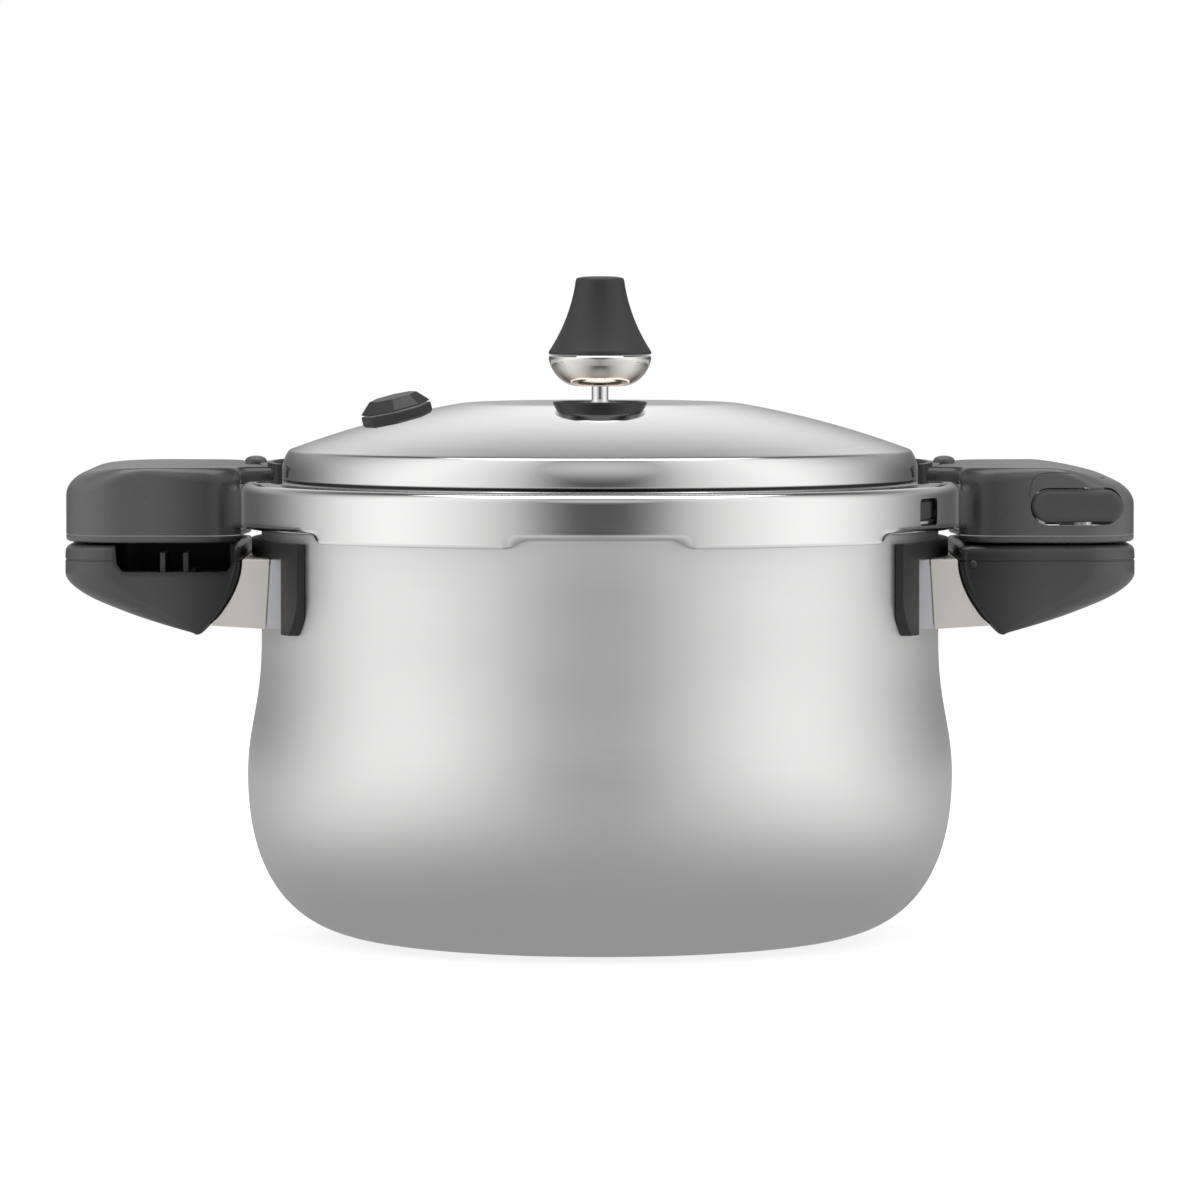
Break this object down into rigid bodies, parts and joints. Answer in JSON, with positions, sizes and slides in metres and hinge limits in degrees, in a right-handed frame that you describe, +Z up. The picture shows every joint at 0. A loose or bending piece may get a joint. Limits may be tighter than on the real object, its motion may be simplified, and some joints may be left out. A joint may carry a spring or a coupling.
{
  "type": "stovetop pressure cooker",
  "caption": "Stovetop pressure cooker with bulging steel pot, bayonet lid, side handles, lock button, relief valve and jiggling weight.",
  "frame": {"origin": "centre of the pot's flat base, on the surface it stands on", "axes": "+Z up along the pot's and lid's axis; +X along the handles towards the lock side; -Y the front, which the lock button faces"},
  "size_m": [0.3498, 0.237, 0.2187],
  "materials": {
    "pot_steel": "satin",
    "lid_steel": "polished",
    "polished_steel": "polished",
    "bracket_steel": "satin",
    "fastener_steel": "satin",
    "spring_steel": "satin",
    "gloss_black": "gloss",
    "matte_black": "satin",
    "silicone": "matte"
  },
  "bodies": {
    "pot": {"pot_body": "pot_steel", "left_pot_bracket": "bracket_steel", "left_wall_pad": "matte_black", "left_ferrule": "polished_steel", "left_pot_grip": "gloss_black", "left_pot_grip_screw": "fastener_steel", "right_pot_bracket": "bracket_steel", "right_wall_pad": "matte_black", "right_ferrule": "polished_steel", "right_pot_grip": "gloss_black", "right_pot_grip_screw": "fastener_steel"},
    "lid": {"lid_shell": "lid_steel", "gasket": "silicone", "vent_dish": "matte_black", "nozzle_pipe": "polished_steel", "nozzle_seal": "silicone", "nozzle_nut": "fastener_steel", "vent_filter": "fastener_steel", "relief_base": "matte_black", "relief_cap": "matte_black", "relief_body": "fastener_steel", "relief_seal": "silicone", "relief_nut": "fastener_steel", "relief_spring": "spring_steel", "button_spring": "spring_steel", "bolt_spring": "spring_steel", "left_lid_bracket": "bracket_steel", "left_lid_grip": "gloss_black", "left_grip_base": "gloss_black", "left_grip_screw": "fastener_steel", "left_neck_screw": "matte_black", "right_lid_bracket": "bracket_steel", "right_lid_grip": "gloss_black", "right_grip_base": "gloss_black", "right_grip_screw": "fastener_steel", "right_neck_screw": "matte_black"},
    "weight": {"weight_bowl": "polished_steel", "weight_cap": "matte_black", "weight_pin": "fastener_steel"},
    "plunger": {"relief_plunger": "fastener_steel"},
    "button": {"release_button": "gloss_black"},
    "bolt": {"lock_bolt": "fastener_steel"}
  },
  "joints": [
    {"name": "lid_turn", "type": "hinge", "parent": "pot", "child": "lid", "pos_m": [0, 0, 0.149], "axis": [0, 0, 1], "range_deg": [0, 31.8]},
    {"name": "weight_lift", "type": "slide", "parent": "lid", "child": "weight", "axis": [0, 0, 1], "range_m": [0, 0.025]},
    {"name": "button_press", "type": "slide", "parent": "lid", "child": "button", "axis": [0, 1, 0], "range_m": [0, 0.004], "stiffness_N_per_m": 800, "springref_m": -0.002, "deforming": ["button_spring"]},
    {"name": "bolt_slide", "type": "slide", "parent": "lid", "child": "bolt", "axis": [0, 0, 1], "range_m": [0, 0.004], "stiffness_N_per_m": 300, "springref_m": -0.002, "deforming": ["bolt_spring"]},
    {"name": "relief_lift", "type": "slide", "parent": "lid", "child": "plunger", "axis": [-0.248, -0.0902, 0.9646], "range_m": [0, 0.0018], "stiffness_N_per_m": 1500, "springref_m": -0.002, "deforming": ["relief_spring"]}
  ],
  "couplings": [
    {"joint": "bolt_slide", "follows": "button_press", "ratio": 1}
  ]
}
